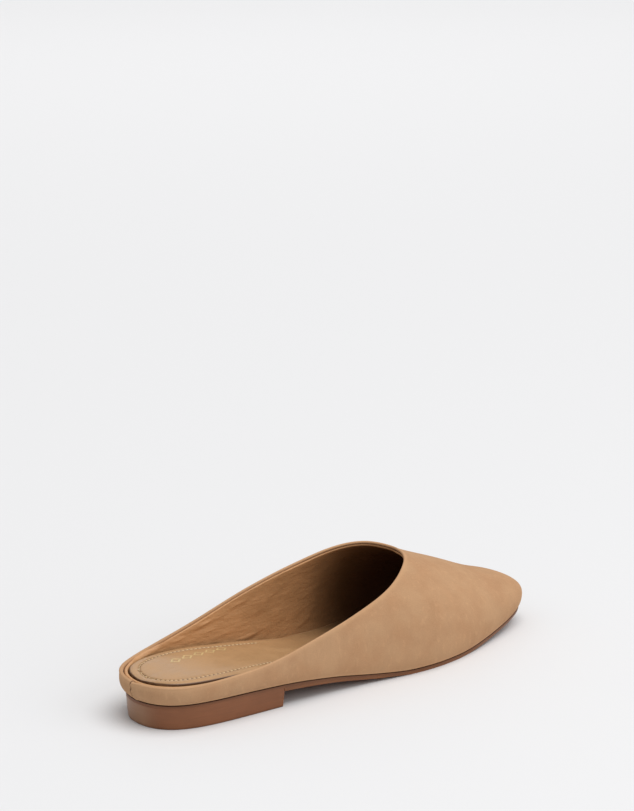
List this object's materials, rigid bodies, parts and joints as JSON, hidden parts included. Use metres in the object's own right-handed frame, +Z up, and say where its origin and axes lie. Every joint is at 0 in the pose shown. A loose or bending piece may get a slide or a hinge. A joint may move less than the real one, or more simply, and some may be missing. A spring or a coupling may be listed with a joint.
{
  "type": "mule shoe",
  "caption": "Flat backless mule in nubuck with a pointed almond toe, a low collar round the heel, a deep curved opening, a padded leather insole and a low stacked heel.",
  "frame": {"origin": "on the floor, under the middle of the shoe's bounding box, with the empty shoe standing on its heel and on the ball of its sole", "axes": "+X runs along the shoe to the toe, +Y across it to the inner (medial) side, and +Z up from the floor"},
  "size_m": [0.2546, 0.0814, 0.0574],
  "materials": {
    "nubuck": "matte napped tan nubuck",
    "insole_leather": "smooth tan leather with a low sheen",
    "sole_leather": "brown edge-inked sole leather",
    "heel_leather": "brown polished stacked heel"
  },
  "bodies": {
    "root": {"upper": "nubuck", "insole": "insole_leather", "outsole": "sole_leather", "heel": "heel_leather"}
  },
  "joints": []
}
